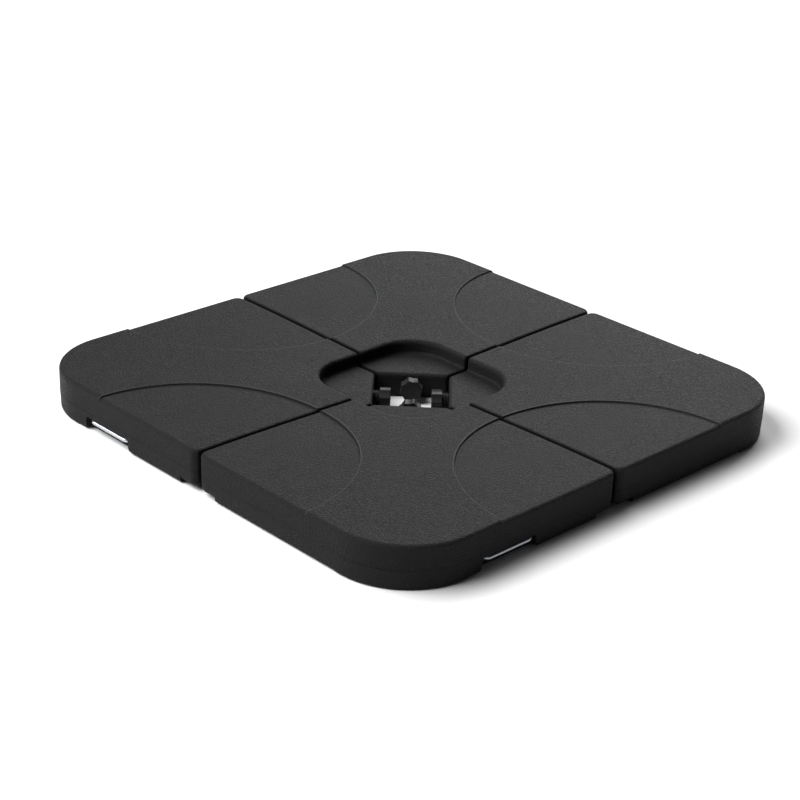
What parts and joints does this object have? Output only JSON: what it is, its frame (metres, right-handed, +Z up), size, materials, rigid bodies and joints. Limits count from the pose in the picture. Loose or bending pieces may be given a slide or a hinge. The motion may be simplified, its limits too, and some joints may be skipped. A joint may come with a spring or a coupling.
{
  "type": "parasol base",
  "caption": "Square parasol base of fillable plastic weight plates with rounded corners, a recessed middle opening, screw caps and pull-out wire handles.",
  "frame": {"origin": "middle of the set of plates, on the ground", "axes": "+Z up, X and Y along the seams between the plates"},
  "size_m": [0.972, 0.972, 0.078],
  "materials": {
    "tank_shell": "blow-moulded polyethylene, matt, with a fine leathery grain",
    "cap_plastic": "injection-moulded polypropylene, satin",
    "washer_rubber": "smooth",
    "handle_wire": "bright zinc-plated steel wire",
    "bush_plastic": "moulded nylon, satin",
    "ring_steel": "plain spring steel"
  },
  "bodies": {
    "plate_back_right": {"tank_back_right": "tank_shell", "handle_bushes_back_right": "bush_plastic"},
    "handle_back_right": {"handle_back_right": "handle_wire", "handle_stop_rings_back_right": "ring_steel"},
    "washer_back_right": {"filler_washer_back_right": "washer_rubber"},
    "cap_back_right": {"filler_cap_back_right": "cap_plastic"},
    "plate_back_left": {"tank_back_left": "tank_shell", "handle_bushes_back_left": "bush_plastic"},
    "handle_back_left": {"handle_back_left": "handle_wire", "handle_stop_rings_back_left": "ring_steel"},
    "washer_back_left": {"filler_washer_back_left": "washer_rubber"},
    "cap_back_left": {"filler_cap_back_left": "cap_plastic"},
    "plate_front_left": {"tank_front_left": "tank_shell", "handle_bushes_front_left": "bush_plastic"},
    "handle_front_left": {"handle_front_left": "handle_wire", "handle_stop_rings_front_left": "ring_steel"},
    "washer_front_left": {"filler_washer_front_left": "washer_rubber"},
    "cap_front_left": {"filler_cap_front_left": "cap_plastic"},
    "plate_front_right": {"tank_front_right": "tank_shell", "handle_bushes_front_right": "bush_plastic"},
    "handle_front_right": {"handle_front_right": "handle_wire", "handle_stop_rings_front_right": "ring_steel"},
    "washer_front_right": {"filler_washer_front_right": "washer_rubber"},
    "cap_front_right": {"filler_cap_front_right": "cap_plastic"}
  },
  "joints": [
    {"name": "handle_pull_back_right", "type": "slide", "parent": "plate_back_right", "child": "handle_back_right", "axis": [0, 1, 0], "range_m": [0, 0.038]},
    {"name": "cap_rise_back_right", "type": "slide", "parent": "plate_back_right", "child": "washer_back_right", "axis": [-0.7071, -0.7071, 0], "range_m": [0, 0.01126]},
    {"name": "cap_turn_back_right", "type": "hinge", "parent": "washer_back_right", "child": "cap_back_right", "pos_m": [0.04808, 0.04808, 0.026], "axis": [-0.7071, -0.7071, 0], "range_deg": [0, 900]},
    {"name": "lift_back_left", "type": "slide", "parent": "plate_back_right", "child": "plate_back_left", "axis": [0, 0, 1], "range_m": [0, 0.1]},
    {"name": "handle_pull_back_left", "type": "slide", "parent": "plate_back_left", "child": "handle_back_left", "axis": [-1, 0, 0], "range_m": [0, 0.038]},
    {"name": "cap_rise_back_left", "type": "slide", "parent": "plate_back_left", "child": "washer_back_left", "axis": [0.7071, -0.7071, 0], "range_m": [0, 0.01126]},
    {"name": "cap_turn_back_left", "type": "hinge", "parent": "washer_back_left", "child": "cap_back_left", "pos_m": [-0.04808, 0.04808, 0.026], "axis": [0.7071, -0.7071, 0], "range_deg": [0, 900]},
    {"name": "lift_front_left", "type": "slide", "parent": "plate_back_right", "child": "plate_front_left", "axis": [0, 0, 1], "range_m": [0, 0.1]},
    {"name": "handle_pull_front_left", "type": "slide", "parent": "plate_front_left", "child": "handle_front_left", "axis": [0, -1, 0], "range_m": [0, 0.038]},
    {"name": "cap_rise_front_left", "type": "slide", "parent": "plate_front_left", "child": "washer_front_left", "axis": [0.7071, 0.7071, 0], "range_m": [0, 0.01126]},
    {"name": "cap_turn_front_left", "type": "hinge", "parent": "washer_front_left", "child": "cap_front_left", "pos_m": [-0.04808, -0.04808, 0.026], "axis": [0.7071, 0.7071, 0], "range_deg": [0, 900]},
    {"name": "lift_front_right", "type": "slide", "parent": "plate_back_right", "child": "plate_front_right", "axis": [0, 0, 1], "range_m": [0, 0.1]},
    {"name": "handle_pull_front_right", "type": "slide", "parent": "plate_front_right", "child": "handle_front_right", "axis": [1, 0, 0], "range_m": [0, 0.038]},
    {"name": "cap_rise_front_right", "type": "slide", "parent": "plate_front_right", "child": "washer_front_right", "axis": [-0.7071, 0.7071, 0], "range_m": [0, 0.01126]},
    {"name": "cap_turn_front_right", "type": "hinge", "parent": "washer_front_right", "child": "cap_front_right", "pos_m": [0.04808, -0.04808, 0.026], "axis": [-0.7071, 0.7071, 0], "range_deg": [0, 900]}
  ],
  "couplings": [
    {"joint": "cap_rise_back_right", "follows": "cap_turn_back_right", "m_per_rad": 0.0007162},
    {"joint": "cap_rise_back_left", "follows": "cap_turn_back_left", "m_per_rad": 0.0007162},
    {"joint": "cap_rise_front_left", "follows": "cap_turn_front_left", "m_per_rad": 0.0007162},
    {"joint": "cap_rise_front_right", "follows": "cap_turn_front_right", "m_per_rad": 0.0007162}
  ]
}
